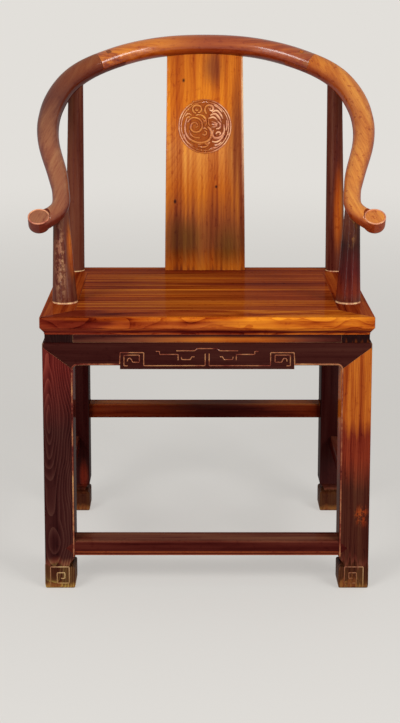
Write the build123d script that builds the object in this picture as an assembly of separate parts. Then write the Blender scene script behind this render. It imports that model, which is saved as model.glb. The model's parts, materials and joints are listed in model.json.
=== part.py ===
"""Horseshoe back armchair with a waisted seat, in millimetres.

+Z is up, +Y is the back and +X the chair's right as seen from the front. The origin
lies on the floor under the middle of the chair's bounding box. Depths are measured
back from the front edge of the seat, half widths out from the middle plane.
"""
import os
from math import radians, tan

from build123d import *

os.makedirs("parts", exist_ok=True)

# ---------------------------------------------------------------- driving dimensions

# Seat frame and panel
seat_width = 600.0
seat_depth = 475.0
seat_height = 510.0
frame_thickness = 33.0
frame_member_width = 60.0
frame_corner_radius = 4.0
frame_lip_height = 20.0          # upright upper part of the moulded edge
frame_bead_height = 3.0          # upright bead at the foot of the moulded edge
frame_undercut = 7.5             # how far the moulding draws in below the lip
frame_top_rounding = 2.0
panel_thickness = 14.0
panel_tongue_thickness = 6.0
panel_tongue_length = 7.0
panel_tongue_drop = 4.0          # from the seat's top face to the tongue
batten_width = 34.0
batten_height = 16.0
batten_half_spacing = 110.0
batten_tenon_length = 12.0
batten_tenon_shoulder = 4.0
dovetail_height = 4.0
dovetail_flare = 3.0
dovetail_neck_width = 24.0

# Waist and apron
waist_height = 15.0
waist_recess = 4.5               # behind the face of the apron
waist_thickness = 14.0
waist_tongue_thickness = 5.0
waist_tongue_height = 4.0
apron_height = 41.0
apron_thickness = 20.0
apron_top_rounding = 3.0
apron_corner_radius = 8.0        # where the apron's lower edge turns down the leg
apron_end_height = 7.0           # of the mitred apron at the chair's corner
apron_drop = 7.0                 # of the front apron's carved middle
apron_drop_half_width = 156.5

# Legs
leg_size = 55.0
leg_inset = 4.0                  # behind the seat's outer edge
leg_corner_radius = 4.0
leg_inner_rounding = 2.0
foot_height = 42.0
foot_rounding = 6.0
ankle_depth = 10.0
ankle_height = 18.0              # of the notch above the foot

# Posts
rear_post_base_diameter = 39.5
rear_post_top_diameter = 30.0
rear_post_lean = 6.0             # of its top towards the middle of the chair
front_post_depth = 132.0
front_post_to_opening = 24.0     # from its centre to the frame's opening
front_post_lean = 6.0            # of its top away from the middle of the chair
front_post_base_diameter = 46.8
front_post_middle_diameter = 36.5
front_post_top_diameter = 27.5
rear_post_tenon_diameter = 18.0
front_post_tenon_diameter = 15.0
post_foot_tenon_diameter = 24.0
post_foot_tenon_length = 19.0
post_tenon_rise = 3.0            # above the rail's centre line

# Crest rail, a round bar bent in one sloping plane
rail_slope = 34.6                # degrees, rising towards the back
rail_rise_at_front_post = 184.5  # of its centre line above the seat
rail_back_overhang = 56.0        # of its centre line behind the seat
rail_back_radius = 20.9
rail_joint_radius = 21.6
rail_shoulder_radius = 22.6
rail_widest_radius = 21.6
rail_waist_radius = 18.9
rail_neck_radius = 16.3
rail_curl_radius = 17.2
hand_radius = 20.2
hand_flat_height = 10.0          # of the disc's face above the centre line
hand_bottom_rounding = 12.0
hand_rim_rounding = 1.5
hand_shoulder_clearance = 1.0

# Where the bar runs behind the rear posts, as shares of the way to the post and to the back
back_sweep = [(0.37, 0.91), (0.75, 0.52)]

# Along the side, from the rear post forward: shares of the way from post to post, and how
# far the bar's centre line stands out beyond the seat's side edge
side_shares = [0.825, 0.60, 0.43, 0.24, 0.075]
bulge_at_shoulder = -5.0
bulge_at_widest = 8.0
bulge_at_middle = 1.5
bulge_at_waist = -17.0
bulge_at_neck = -29.0

# From the front post to the middle of the hand
curl_start_out = 2.0
curl_start_forward = 9.0
curl_middle_out = 13.5
curl_middle_forward = 25.0
hand_out = 36.5
hand_forward = 36.5

# Scarf joint of the rail
scarf_half_length = 26.0
scarf_stub_length = 4.0
scarf_stub_width = 14.0
scarf_stub_low = 4.0
scarf_stub_high = 10.0
peg_bottom_width = 7.0
peg_top_width = 9.0

# Back splat
splat_bottom_width = 165.0
splat_top_width = 157.0
splat_thickness = 14.0
splat_base_depth = 449.0
splat_edge_rounding = 2.2
splat_tenon_thickness = 8.0
splat_tenon_shoulder = 12.0
splat_bottom_tenon_length = 16.0
splat_top_tenon_inset = 9.0      # below the rail's centre line
splat_curve = [(0.24, 0.07), (0.52, 0.36), (0.79, 0.77)]

# Stretchers, named for the side of the chair they close
stretcher_tenon_length = 30.0
stretcher_tenon_thickness = 12.0
stretcher_tenon_shoulder = 4.0
stretcher_point_length = 16.0
stretcher_point_thickness = 10.0
stretcher_rounding = 4.0
front_stretcher_bottom = 64.5
front_stretcher_height = 26.5
front_stretcher_thickness = 50.0
side_stretcher_bottom = 135.0
side_stretcher_height = 28.0
side_stretcher_thickness = 35.0
rear_stretcher_bottom = 197.5
rear_stretcher_height = 29.5
rear_stretcher_thickness = 39.0

# Joints between leg and seat frame
leg_tenon_width = 14.0
leg_tenon_length = 12.0
leg_tenon_height = 14.0
corner_tenon_thickness = 8.0
corner_tenon_rise = 16.0         # above the frame's underside
corner_tenon_near = 22.0         # from the frame's front edge
corner_tenon_far = 46.0
corner_tenon_end = 12.0          # short of the frame's side edge

# Clearances
round_fit = 0.1
cope_gap = 0.15
panel_gap = 0.25
tongue_gap = 0.2
overlap = 1.0                    # how far cuts overrun, and bodies of one solid join

# ---------------------------------------------------------------- places worked out

seat_half = seat_width / 2
frame_bottom = seat_height - frame_thickness
waist_bottom = frame_bottom - waist_height
apron_bottom = waist_bottom - apron_height

leg_outer = seat_half - leg_inset
leg_inner = leg_outer - leg_size
leg_centre = leg_outer - leg_size / 2
rear_post_depth = seat_depth - leg_inset - leg_size / 2

rail_back_depth = seat_depth + rail_back_overhang
front_y = -(rail_back_depth + rail_back_radius) / 2
front_face_y = front_y + leg_inset
rear_face_y = front_y + seat_depth - leg_inset
middle_y = front_y + seat_depth / 2

rear_post_top = leg_centre - rear_post_lean
front_post_base = seat_half - frame_member_width + front_post_to_opening
front_post_top = front_post_base + front_post_lean
far = 4 * max(seat_width, seat_depth, seat_height)


# ---------------------------------------------------------------- helpers

def between(start, end, share):
    """Return the value a share of the way from start to end."""
    return start + (end - start) * share


def block(x_low, x_high, y_low, y_high, z_low, z_high):
    """Return the box between two corners."""
    size = Box(x_high - x_low, y_high - y_low, z_high - z_low, align=(Align.MIN,) * 3)
    return Pos(x_low, y_low, z_low) * size


def rod(x, y, z_low, z_high, radius):
    """Return an upright round rod."""
    upright = Cylinder(radius, z_high - z_low, align=(Align.CENTER, Align.CENTER, Align.MIN))
    return Pos(x, y, z_low) * upright


def outline(points):
    """Return the flat face inside a ring of points."""
    return make_face(Polyline(*points, close=True))


def rounded(face, corners, radius):
    """Round the corners of a flat face that lie at the given points."""
    picked = [face.vertices().sort_by_distance((a, b, 0))[0] for a, b in corners]
    return fillet(picked, radius)


def across(face, y_low, y_high):
    """Extrude a face drawn in X and Z from one y to another."""
    return Pos(0, y_low, 0) * extrude(Plane.XZ * face, amount=y_low - y_high)


def along(face, x_low, x_high):
    """Extrude a face drawn in Y and Z from one x to another."""
    return Pos(x_low, 0, 0) * extrude(Plane.YZ * face, amount=x_high - x_low)


def upward(face, z_low, z_high):
    """Extrude a face drawn in X and Y from one height to another."""
    return Pos(0, 0, z_low) * extrude(face, amount=z_high - z_low)


def flipped(solid):
    """Return the mirror image on the chair's other side."""
    return mirror(solid, about=Plane.YZ)


def without(solid, *tools):
    """Cut several tools out of a solid, one after another."""
    for tool in tools:
        solid = solid - tool
    return solid


# ---------------------------------------------------------------- crest rail

def rail_height(depth):
    """Return the height of the rail's centre line at a depth."""
    rise = (depth - front_post_depth) * tan(radians(rail_slope))
    return seat_height + rail_rise_at_front_post + rise


def rail_point(half_width, depth):
    """Return the point of the rail's plane over a place on the floor."""
    return Vector(half_width, front_y + depth, rail_height(depth))


def rail_stations():
    """List half width, depth and radius of the bar from the middle to the hand."""
    stations = [(0.0, rail_back_depth, rail_back_radius)]
    for (share, reach), radius in zip(back_sweep, (rail_back_radius, rail_joint_radius)):
        depth = between(rear_post_depth, rail_back_depth, reach)
        stations.append((share * rear_post_top, depth, radius))
    stations.append((rear_post_top, rear_post_depth, rail_shoulder_radius))
    side_places = (
        (bulge_at_shoulder, rail_shoulder_radius),
        (bulge_at_widest, rail_widest_radius),
        (bulge_at_middle, (rail_widest_radius + rail_waist_radius) / 2),
        (bulge_at_waist, rail_waist_radius),
        (bulge_at_neck, rail_neck_radius),
    )
    for share, (bulge, radius) in zip(side_shares, side_places):
        depth = between(front_post_depth, rear_post_depth, share)
        stations.append((seat_half + bulge, depth, radius))
    for out, forward, radius in (
        (curl_start_out, curl_start_forward, rail_neck_radius),
        (curl_middle_out, curl_middle_forward, rail_curl_radius),
        (hand_out, hand_forward, hand_radius - round_fit),
    ):
        stations.append((front_post_top + out, front_post_depth - forward, radius))
    return stations


rail_normal = Vector(0, 0, 1).rotate(Axis.X, rail_slope)
right_stations = rail_stations()
left_stations = [(-half, depth, radius) for half, depth, radius in right_stations[:0:-1]]
all_stations = left_stations + right_stations
rail_path = Spline(*[rail_point(half, depth) for half, depth, _ in all_stations])


def rail_bar(growth=0.0):
    """Return the round bar, grown all round by a clearance."""
    shares = [rail_path.param_at_point(rail_point(half, depth)) for half, depth, _ in all_stations]
    radii = [radius + growth for _, _, radius in all_stations]
    sections = []
    for number, (share, radius) in enumerate(zip(shares, radii)):
        sections.append((share, radius))
        if number + 1 < len(shares):
            middle = (share + shares[number + 1]) / 2
            sections.append((middle, (radius + radii[number + 1]) / 2))
    rings = []
    for share, radius in sections:
        place = Plane(rail_path.position_at(share), rail_normal, rail_path.tangent_at(share))
        rings.append(place * Circle(radius))
    return loft(rings)


def hand_plane(side):
    """Return the plane of a hand's disc: 1 for the right hand, -1 for the left."""
    half, depth, _ = right_stations[-1]
    return Plane(rail_point(side * half, depth), (1, 0, 0), rail_normal)


def hand_disc():
    """Return the disc that ends a hand, flat on top and rounded below."""
    stem = (Align.CENTER, Align.CENTER, Align.MAX)
    disc = Cylinder(hand_radius, hand_radius + hand_flat_height, align=stem)
    disc = fillet(disc.edges().group_by(Axis.Z)[0], hand_bottom_rounding)
    disc = fillet(disc.edges().group_by(Axis.Z)[-1], hand_rim_rounding)
    return Pos(0, 0, hand_flat_height) * disc


def hand_cut():
    """Return what is carved away over a hand's disc."""
    stem = (Align.CENTER, Align.CENTER, Align.MIN)
    width = hand_radius + hand_shoulder_clearance
    return Pos(0, 0, hand_flat_height) * Cylinder(width, hand_radius, align=stem)


def scarf_plane(side):
    """Return the joint's frame: x along the bar to the arm, z square to the rail's plane."""
    share, reach = back_sweep[-1]
    depth = between(rear_post_depth, rail_back_depth, reach)
    centre = rail_point(side * share * rear_post_top, depth)
    direction = rail_path.tangent_at(rail_path.param_at_point(centre)) * side
    return Plane(centre, direction, rail_normal)


def scarf_arm_side():
    """Return the region that belongs to the arm, in the joint's frame."""
    stub_half = scarf_stub_width / 2
    arm = block(scarf_half_length, far, -far, far, -far, far)
    arm += block(-scarf_half_length, scarf_half_length, -far, far, -far, 0)
    arm += block(
        -scarf_half_length - scarf_stub_length, -scarf_half_length,
        -stub_half, stub_half, -scarf_stub_high, -scarf_stub_low,
    )
    socket = block(
        scarf_half_length, scarf_half_length + scarf_stub_length,
        -stub_half, stub_half, scarf_stub_low, scarf_stub_high,
    )
    return arm - socket


def scarf_peg():
    """Return the tapered square peg, longer than the bar is thick."""
    reach = 2 * rail_joint_radius
    lower = Pos(0, 0, -reach) * Rectangle(peg_bottom_width, peg_bottom_width)
    upper = Pos(0, 0, reach) * Rectangle(peg_top_width, peg_top_width)
    return loft([lower, upper])


# ---------------------------------------------------------------- legs and posts

def leg_profile():
    """Return a leg's side outline: across from the outer face, and up."""
    ankle = leg_size - ankle_depth
    waist_z = foot_height + foot_rounding
    points = [
        (0, 0), (leg_size, 0), (leg_size, foot_height), (ankle, foot_height),
        (ankle, waist_z), (leg_size, foot_height + ankle_height),
        (leg_size, frame_bottom), (0, frame_bottom),
    ]
    face = outline(points)
    return rounded(face, [(0, 0), (leg_size, 0), (leg_size, foot_height)], foot_rounding)


def leg_column():
    """Return a leg with its outer corner at the origin and its faces along +X and +Y."""
    column = across(leg_profile(), 0, leg_size) & along(leg_profile(), 0, leg_size)
    plan = outline([(0, 0), (leg_size, 0), (leg_size, leg_size), (0, leg_size)])
    plan = rounded(plan, [(0, 0)], leg_corner_radius)
    plan = rounded(plan, [(leg_size, leg_size)], leg_inner_rounding)
    column = column & upward(plan, 0, frame_bottom)
    above_apron = (waist_bottom, frame_bottom)
    column -= block(-overlap, waist_recess, -overlap, leg_size + overlap, *above_apron)
    column -= block(-overlap, leg_size + overlap, -overlap, waist_recess, *above_apron)
    return column


def front_leg_blank():
    """Return the left front leg before its joints are cut, with tenons for the frame."""
    leg = Pos(-leg_outer, front_face_y, 0) * leg_column()
    near = leg_inset + waist_recess + leg_tenon_length / 2
    far_side = leg_inset + leg_size - leg_tenon_width - 2 * leg_inner_rounding
    top = frame_bottom + leg_tenon_height
    in_front_rail = block(
        -seat_half + far_side, -seat_half + far_side + leg_tenon_width,
        front_y + near, front_y + near + leg_tenon_length, frame_bottom, top,
    )
    in_side_rail = block(
        -seat_half + near, -seat_half + near + leg_tenon_length,
        front_y + far_side, front_y + far_side + leg_tenon_width, frame_bottom, top,
    )
    return leg + in_front_rail + in_side_rail


def rear_leg_blank():
    """Return the left rear leg and its post up to the rail's centre line."""
    leg = Pos(-leg_outer, rear_face_y, 0) * mirror(leg_column(), about=Plane.XZ)
    x = -leg_centre
    y = front_y + rear_post_depth
    through_frame = rod(x, y, frame_bottom, seat_height, rear_post_base_diameter / 2)
    base = Pos(x, y, seat_height) * Circle(rear_post_base_diameter / 2)
    top = Pos(-rear_post_top, y, rail_height(rear_post_depth)) * Circle(rear_post_top_diameter / 2)
    return leg, through_frame + loft([base, top])


def front_post_blank():
    """Return the left front post up to the rail's centre line."""
    y = front_y + front_post_depth
    top_z = rail_height(front_post_depth)
    middle_x = between(front_post_base, front_post_top, 0.5)
    base = Pos(-front_post_base, y, seat_height)
    middle = Pos(-middle_x, y, between(seat_height, top_z, 0.5))
    top = Pos(-front_post_top, y, top_z)
    return loft([
        base * Circle(front_post_base_diameter / 2),
        middle * Circle(front_post_middle_diameter / 2),
        top * Circle(front_post_top_diameter / 2),
    ])


def post_tenon(x, depth, diameter, growth=0.0):
    """Return the round tenon that rises from a post's top past the rail's centre line."""
    z = rail_height(depth)
    low = z - 2 * rail_shoulder_radius
    return rod(x, front_y + depth, low, z + post_tenon_rise + growth, diameter / 2 + growth)


def post_foot_tenon(growth=0.0):
    """Return the round tenon under the left front post."""
    low = seat_height - post_foot_tenon_length - growth
    radius = post_foot_tenon_diameter / 2 + growth
    return rod(-front_post_base, front_y + front_post_depth, low, seat_height, radius)


# ---------------------------------------------------------------- seat

def frame_blank():
    """Return the whole moulded seat frame in one ring, before it is mitred."""
    lip_bottom = seat_height - frame_lip_height
    bead_top = frame_bottom + frame_bead_height
    top_face = RectangleRounded(seat_width, seat_depth, frame_corner_radius)
    slope = Pos(0, 0, lip_bottom) * RectangleRounded(seat_width, seat_depth, frame_corner_radius)
    narrow = RectangleRounded(
        seat_width - 2 * frame_undercut, seat_depth - 2 * frame_undercut, frame_corner_radius
    )
    lip = upward(top_face, lip_bottom, seat_height)
    lip = fillet(lip.edges().group_by(Axis.Z)[-1], frame_top_rounding)
    moulding = loft([slope, Pos(0, 0, bead_top) * narrow])
    bead = upward(narrow, frame_bottom, bead_top)
    return Pos(0, middle_y, 0) * (lip + moulding + bead)


def seat_opening(growth=0.0):
    """Return half width, front y and rear y of the frame's opening, grown by a depth."""
    half = seat_half - frame_member_width + growth
    front = front_y + frame_member_width - growth
    rear = front_y + seat_depth - frame_member_width + growth
    return half, front, rear


def opening_block(growth, z_low, z_high):
    """Return a block that fills the opening, grown sideways by a depth."""
    half, front, rear = seat_opening(growth)
    return block(-half, half, front, rear, z_low, z_high)


def member_wedge(side):
    """Return the mitred region of one frame member: front, rear or left."""
    rear_y = front_y + seat_depth
    half, front, rear = seat_opening()
    outer = {
        "front": [(-seat_half, front_y), (seat_half, front_y), (half, front), (-half, front)],
        "rear": [(-seat_half, rear_y), (seat_half, rear_y), (half, rear), (-half, rear)],
        "left": [(-seat_half, front_y), (-half, front), (-half, rear), (-seat_half, rear_y)],
    }
    return upward(outline(outer[side]), 0, seat_height)


def corner_tenons():
    """Return the front member's two tenons, each from its mitre into a side member."""
    low = frame_bottom + corner_tenon_rise
    high = low + corner_tenon_thickness
    end = seat_half - corner_tenon_end
    plan = outline([
        (-end, front_y + corner_tenon_near), (-end, front_y + corner_tenon_far),
        (-seat_half + corner_tenon_far, front_y + corner_tenon_far),
        (-seat_half + corner_tenon_near, front_y + corner_tenon_near),
    ])
    left = upward(plan, low, high)
    return left + flipped(left)


def seat_panel_blank():
    """Return the floating panel with its tongue all round."""
    body = opening_block(-panel_gap, seat_height - panel_thickness, seat_height)
    tongue_top = seat_height - panel_tongue_drop - tongue_gap
    tongue_low = seat_height - panel_tongue_drop - panel_tongue_thickness
    tongue = opening_block(panel_tongue_length, tongue_low, tongue_top)
    return body + tongue


def panel_groove():
    """Return the groove that takes the panel's tongue."""
    top = seat_height - panel_tongue_drop
    depth = panel_tongue_length + panel_gap
    return opening_block(depth, top - panel_tongue_thickness, top)


def batten():
    """Return the left batten: a bar with a dovetail on top and a tenon at each end."""
    _, front, rear = seat_opening()
    top = seat_height - panel_thickness
    x = -batten_half_spacing
    bar = block(x - batten_width / 2, x + batten_width / 2, front, rear, top - batten_height, top)
    neck = dovetail_neck_width / 2
    face = outline([
        (x - neck, top), (x + neck, top),
        (x + neck + dovetail_flare, top + dovetail_height),
        (x - neck - dovetail_flare, top + dovetail_height),
    ])
    dovetail = across(face, front + panel_gap, rear - panel_gap)
    tenon = block(
        x - neck, x + neck, front - batten_tenon_length, rear + batten_tenon_length,
        top - batten_height + batten_tenon_shoulder, top - batten_tenon_shoulder,
    )
    return bar + dovetail + tenon


# ---------------------------------------------------------------- waist and apron

def waist_strip(half_length, face_y):
    """Return a strip along X between two leg tops, its face towards -Y at face_y."""
    strip = block(
        -half_length, half_length, face_y, face_y + waist_thickness, waist_bottom, frame_bottom
    )
    inset = (waist_thickness - waist_tongue_thickness) / 2
    tongue = block(
        -half_length - waist_tongue_height, half_length + waist_tongue_height,
        face_y + inset, face_y + inset + waist_tongue_thickness,
        waist_bottom, frame_bottom + waist_tongue_height,
    )
    shy = block(-far, -half_length, -far, far, frame_bottom, far)
    return without(strip + tongue, shy, flipped(shy))


def apron_board(half_length, face_y, drop_half_width=0.0):
    """Return an apron along X between the chair's corners, its face towards -Y."""
    inner = half_length - leg_size
    turn = apron_corner_radius
    right = [
        (half_length, waist_bottom), (half_length, waist_bottom - apron_end_height),
        (inner, apron_bottom - turn), (inner - turn, apron_bottom - turn),
        (inner - turn, apron_bottom),
    ]
    if drop_half_width:
        right.append((drop_half_width, apron_bottom))
        right.append((drop_half_width, apron_bottom - apron_drop))
    left = [(-x, z) for x, z in reversed(right)]
    board = across(outline(right + left), face_y, face_y + apron_thickness)
    for side in (1, -1):
        x = side * (inner - turn)
        z = apron_bottom - turn
        board -= Pos(x, face_y + apron_thickness / 2, z) * Rot(90, 0, 0) * Cylinder(turn, far)
    plan = outline([
        (-half_length, face_y), (half_length, face_y),
        (half_length - apron_thickness, face_y + apron_thickness),
        (apron_thickness - half_length, face_y + apron_thickness),
    ])
    return board & upward(plan, 0, seat_height)


def eased(board):
    """Round the upper front edge of an apron that faces -Y."""
    top_edges = board.edges().filter_by(Axis.X).group_by(Axis.Z)[-1]
    return fillet(top_edges.sort_by(Axis.Y)[0], apron_top_rounding)


def corner_rounding():
    """Return the upright block that rounds the chair's four corners below the seat."""
    length = rear_face_y - front_face_y
    plan = RectangleRounded(2 * leg_outer, length, leg_corner_radius)
    return Pos(0, middle_y, 0) * upward(plan, 0, seat_height)


def to_left(solid):
    """Turn a piece made for the front round to the chair's left side."""
    return Pos(0, middle_y, 0) * Rot(0, 0, -90) * solid


def to_rear(solid):
    """Turn a piece made for the front round to the chair's rear."""
    return Pos(0, middle_y, 0) * Rot(0, 0, 180) * Pos(0, -middle_y, 0) * solid


# ---------------------------------------------------------------- stretchers

def stretcher(half_length, face_y, bottom, height, thickness):
    """Return a stretcher along X, its face towards -Y, with points and tenons."""
    top = bottom + height
    bar = block(-half_length, half_length, face_y, face_y + thickness, bottom, top)
    bar = fillet(bar.edges().filter_by(Axis.X), stretcher_rounding)
    tip = half_length + stretcher_point_length
    middle = bottom + height / 2
    points = outline([
        (-tip, middle), (-half_length, bottom), (half_length, bottom),
        (tip, middle), (half_length, top), (-half_length, top),
    ])
    inner = half_length - overlap
    pointed = across(points, face_y, face_y + stretcher_point_thickness)
    pointed -= block(-inner, inner, -far, far, 0, far)
    reach = half_length + stretcher_tenon_length
    tenon_y = face_y + (thickness - stretcher_tenon_thickness) / 2
    tenon = block(
        -reach, reach, tenon_y, tenon_y + stretcher_tenon_thickness,
        bottom + stretcher_tenon_shoulder, top - stretcher_tenon_shoulder,
    )
    return bar + pointed + tenon


# ---------------------------------------------------------------- splat

def splat_bar(thickness, low, high):
    """Return the curved board's side profile, extruded wide, between two heights."""
    top_z = rail_height(rail_back_depth)
    base_y = front_y + splat_base_depth
    top_y = front_y + rail_back_depth
    centre = [(base_y, seat_height)]
    for rise, lean in splat_curve:
        centre.append((between(base_y, top_y, lean), between(seat_height, top_z, rise)))
    centre.append((top_y, top_z))
    front = [(y - thickness / 2, z) for y, z in centre]
    back = [(y + thickness / 2, z) for y, z in centre]
    profile = make_face([
        Spline(*front), Line(front[-1], back[-1]), Spline(*back), Line(back[0], front[0]),
    ])
    board = along(profile, -splat_bottom_width, splat_bottom_width)
    return board & block(-far, far, -far, far, low, high)


def splat_front(shoulder, low, high):
    """Return a tapered block with the splat's width, less a shoulder each side."""
    top_z = rail_height(rail_back_depth)
    bottom_half = splat_bottom_width / 2 - shoulder
    top_half = splat_top_width / 2 - shoulder
    face = outline([
        (-bottom_half, seat_height), (bottom_half, seat_height),
        (top_half, top_z), (-top_half, top_z),
    ])
    return across(face, -far, far) & block(-far, far, -far, far, low, high)


def splat_board():
    """Return the board up to the rail's centre line, its long edges rounded."""
    top = rail_height(rail_back_depth)
    board = splat_bar(splat_thickness, seat_height, top) & splat_front(0, seat_height, top)
    long_edges = [edge for edge in board.edges() if edge.length > 2 * splat_bottom_width]
    return fillet(long_edges, splat_edge_rounding)


def splat_top_tenon(growth=0.0):
    """Return the tongue that enters the rail."""
    low = rail_height(rail_back_depth) - 2 * rail_back_radius
    high = rail_height(rail_back_depth) - splat_top_tenon_inset + growth
    thin = splat_bar(splat_tenon_thickness + 2 * growth, low, high)
    return thin & splat_front(splat_tenon_shoulder - growth, low, high)


def splat_bottom_tenon(growth=0.0):
    """Return the tongue that enters the seat frame's rear member."""
    half = splat_bottom_width / 2 - splat_tenon_shoulder + growth
    thick = splat_tenon_thickness / 2 + growth
    y = front_y + splat_base_depth
    low = seat_height - splat_bottom_tenon_length - growth
    return block(-half, half, y - thick, y + thick, low, seat_height)


# ---------------------------------------------------------------- assembly

parts = {}

# Stretchers, waist and aprons come first, because the legs are cut to take them.
leg_gap_half = leg_inner
side_half = (rear_face_y - front_face_y) / 2
stretchers = {
    "stretcher_front": stretcher(
        leg_gap_half, front_face_y, front_stretcher_bottom,
        front_stretcher_height, front_stretcher_thickness,
    ),
    "stretcher_left": to_left(stretcher(
        side_half - leg_size, -leg_outer, side_stretcher_bottom,
        side_stretcher_height, side_stretcher_thickness,
    )),
    "stretcher_rear": to_rear(stretcher(
        leg_gap_half, front_face_y, rear_stretcher_bottom,
        rear_stretcher_height, rear_stretcher_thickness,
    )),
}
waists = {
    "waist_front": waist_strip(leg_gap_half, front_face_y + waist_recess),
    "waist_left": to_left(waist_strip(side_half - leg_size, -leg_outer + waist_recess)),
    "waist_rear": to_rear(waist_strip(leg_gap_half, front_face_y + waist_recess)),
}
front_apron = apron_board(leg_outer, front_face_y, apron_drop_half_width)
side_apron = apron_board(side_half, -leg_outer)
rear_apron = apron_board(leg_outer, front_face_y)
corners = corner_rounding()
aprons = {
    "apron_front": eased(front_apron) & corners,
    "apron_left": to_left(eased(side_apron)) & corners,
    "apron_rear": to_rear(eased(rear_apron)) & corners,
}
lower_pieces = {**stretchers, **waists, **aprons}
for name, piece in lower_pieces.items():
    parts[name] = piece
    if name.endswith("left"):
        parts[name.replace("left", "right")] = flipped(piece)

# Rail
bar = rail_bar()
grown_bar = rail_bar(cope_gap)
arm_sides = {side: scarf_plane(side) * scarf_arm_side() for side in (1, -1)}
pegs = {side: scarf_plane(side) * scarf_peg() for side in (1, -1)}
for side in (1, -1):
    bar += hand_plane(side) * hand_disc()
    bar -= hand_plane(side) * hand_cut()
rear_place = (-rear_post_top, rear_post_depth, rear_post_tenon_diameter)
front_place = (-front_post_top, front_post_depth, front_post_tenon_diameter)
rear_mortise = post_tenon(*rear_place, round_fit)
front_mortise = post_tenon(*front_place, round_fit)

left_arm = without(bar & arm_sides[-1], pegs[-1], rear_mortise, front_mortise)
parts["rail_left_arm"] = left_arm
parts["rail_right_arm"] = flipped(left_arm)
parts["rail_back"] = without(
    bar, arm_sides[1], arm_sides[-1], pegs[1], pegs[-1], splat_top_tenon(cope_gap)
)
parts["rail_left_peg"] = pegs[-1] & bar
parts["rail_right_peg"] = flipped(parts["rail_left_peg"])

# Splat
parts["back_splat"] = (splat_board() - grown_bar) + splat_top_tenon() + splat_bottom_tenon()

# Legs and posts
leg_cuts = [*stretchers.values(), *waists.values()]
leg_cuts += [front_apron, to_left(side_apron), to_rear(rear_apron)]
parts["front_left_leg"] = without(front_leg_blank(), *leg_cuts)
rear_leg, rear_post = rear_leg_blank()
coped_post = rear_post - grown_bar + post_tenon(*rear_place)
parts["rear_left_leg"] = without(rear_leg, *leg_cuts) + coped_post
coped_front_post = front_post_blank() - grown_bar + post_tenon(*front_place)
parts["front_left_post"] = coped_front_post + post_foot_tenon()
for name in ("front_left_leg", "rear_left_leg", "front_left_post"):
    parts[name.replace("left", "right")] = flipped(parts[name])

# Seat
frame_top_to_bottom = (frame_bottom - overlap, seat_height + overlap)
frame = frame_blank() - opening_block(0, *frame_top_to_bottom) - panel_groove()
left_batten = batten()
rear_hole_radius = rear_post_base_diameter / 2 + round_fit
rear_hole = rod(-leg_centre, front_y + rear_post_depth, 0, far, rear_hole_radius)
long_cuts = [
    parts["front_left_leg"], parts["front_right_leg"], left_batten, flipped(left_batten),
    rear_hole, flipped(rear_hole),
]
front_rail = (frame & member_wedge("front")) + corner_tenons()
rear_rail = frame & member_wedge("rear")
left_rail = (frame & member_wedge("left")) - corner_tenons()
parts["seat_front_rail"] = without(front_rail, *long_cuts, parts["waist_front"])
parts["seat_rear_rail"] = without(
    rear_rail, *long_cuts, parts["waist_rear"], splat_bottom_tenon(round_fit)
)
parts["seat_left_rail"] = without(
    left_rail, parts["front_left_leg"], rear_hole, parts["waist_left"],
    post_foot_tenon(round_fit),
)
parts["seat_right_rail"] = flipped(parts["seat_left_rail"])
parts["seat_panel"] = seat_panel_blank() - left_batten - flipped(left_batten)
parts["seat_left_batten"] = left_batten
parts["seat_right_batten"] = flipped(left_batten)

for name, piece in parts.items():
    export_step(piece, f"parts/{name}.step")
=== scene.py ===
"""Finishes the horseshoe back armchair: worked woods, carving, floor and light.

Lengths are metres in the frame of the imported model: +Z is up, +Y the back and +X the
chair's right as seen from the front. Each wooden member is a worked copy of its solid,
with eased edges, and carries a wood that is cut along that member's own grain.
"""
import json
from math import cos, pi, radians, sin

import bmesh
import bpy
from bpy.props import FloatProperty, FloatVectorProperty, PointerProperty
from mathutils import Matrix, Vector
from mathutils.bvhtree import BVHTree


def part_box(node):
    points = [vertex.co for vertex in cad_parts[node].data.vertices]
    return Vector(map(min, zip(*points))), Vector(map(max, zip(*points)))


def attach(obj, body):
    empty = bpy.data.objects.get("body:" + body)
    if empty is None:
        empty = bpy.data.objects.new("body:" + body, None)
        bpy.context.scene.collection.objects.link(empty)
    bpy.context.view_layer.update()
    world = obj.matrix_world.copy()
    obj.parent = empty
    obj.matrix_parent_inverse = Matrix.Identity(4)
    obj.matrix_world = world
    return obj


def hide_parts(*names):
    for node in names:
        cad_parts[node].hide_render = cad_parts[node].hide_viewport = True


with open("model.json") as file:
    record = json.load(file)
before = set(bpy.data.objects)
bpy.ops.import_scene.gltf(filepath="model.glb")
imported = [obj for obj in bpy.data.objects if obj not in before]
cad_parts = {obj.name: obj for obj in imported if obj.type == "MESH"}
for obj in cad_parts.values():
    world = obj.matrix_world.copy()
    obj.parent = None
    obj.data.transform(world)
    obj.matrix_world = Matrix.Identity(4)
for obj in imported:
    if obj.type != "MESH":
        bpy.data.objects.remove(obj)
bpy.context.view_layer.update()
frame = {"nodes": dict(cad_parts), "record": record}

bl_info = {
    "name": "Horseshoe Back Armchair",
    "version": (1, 0, 0),
    "blender": (4, 5, 0),
    "location": "View3D > Sidebar > Armchair",
    "description": "Dresses the packed armchair in worked wood and sets its studio",
    "category": "Object",
}

MM = 0.001
BODY = "root"
UP = Vector((0, 0, 1))
FRONT = Vector((0, -1, 0))
BACK = Vector((0, 1, 0))
LEFT = Vector((-1, 0, 0))
RIGHT = Vector((1, 0, 0))
# The grain of a member on each side of the chair
SIDES = {"front": RIGHT, "rear": RIGHT, "left": BACK, "right": BACK}
EVERYWHERE = 3000           # the reach in millimetres of a stain that has no end that way

# How a solid's mesh is cleaned before it is worked
WELD = 0.002 * MM
FLAT = radians(0.05)
CREASE = radians(28)
SMOOTH = radians(38)

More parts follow.
